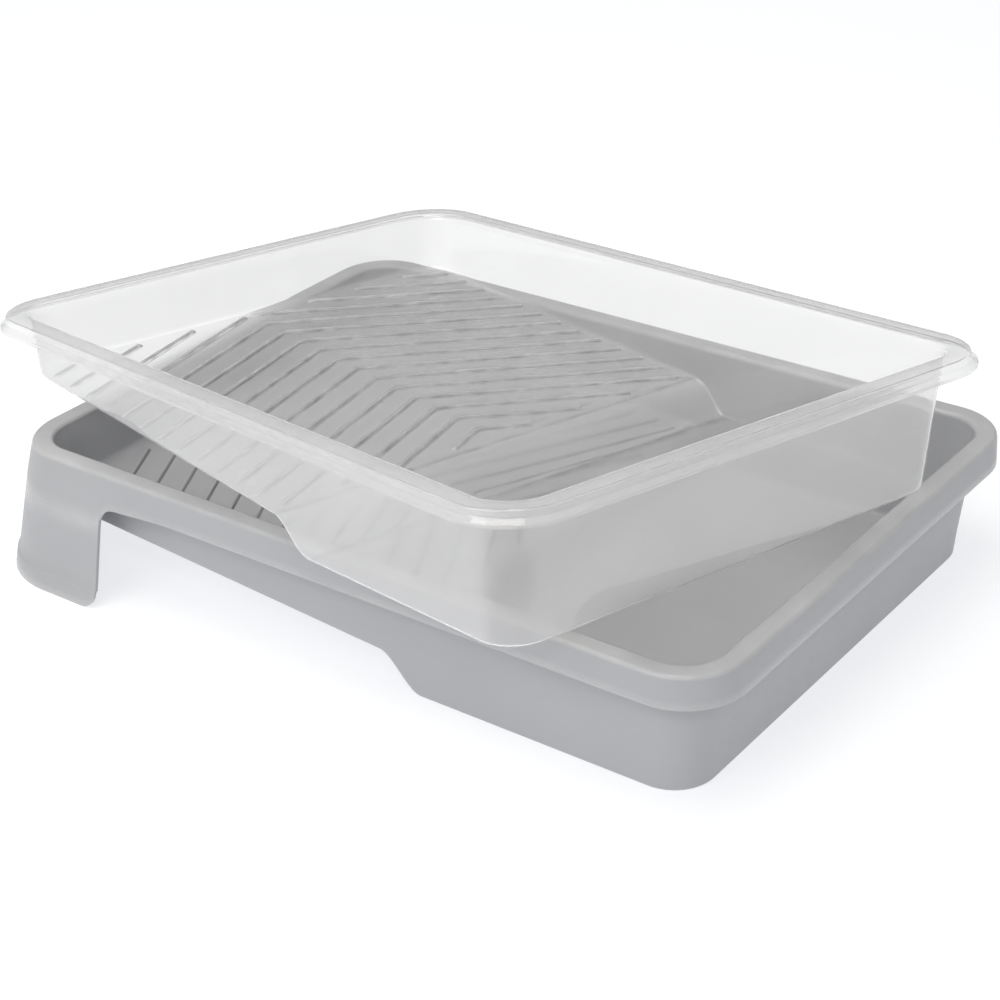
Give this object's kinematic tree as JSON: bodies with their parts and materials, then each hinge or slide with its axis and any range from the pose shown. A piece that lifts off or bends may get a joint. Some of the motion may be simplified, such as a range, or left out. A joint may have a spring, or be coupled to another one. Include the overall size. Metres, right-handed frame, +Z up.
{
  "type": "paint roller tray",
  "caption": "Moulded paint roller tray with a ribbed ramp, a deep well and corner legs, and a clear liner of the same form lying askew on its rim.",
  "frame": {"origin": "the middle of the well's flat underside, on the floor", "axes": "+X from the shallow end to the deep end, +Y across, +Z up"},
  "size_m": [0.4578, 0.3707, 0.1583],
  "materials": {
    "tray_plastic": "moulded grey polypropylene, fine satin surface",
    "liner_sheet": "clear thermoformed sheet plastic, glossy"
  },
  "bodies": {
    "tray": {"tray": "tray_plastic"},
    "liner": {"liner": "liner_sheet"}
  },
  "joints": [
    {"name": "liner_lift", "type": "slide", "parent": "tray", "child": "liner", "axis": [0, 0, 1], "range_m": [0, 0.12]}
  ]
}
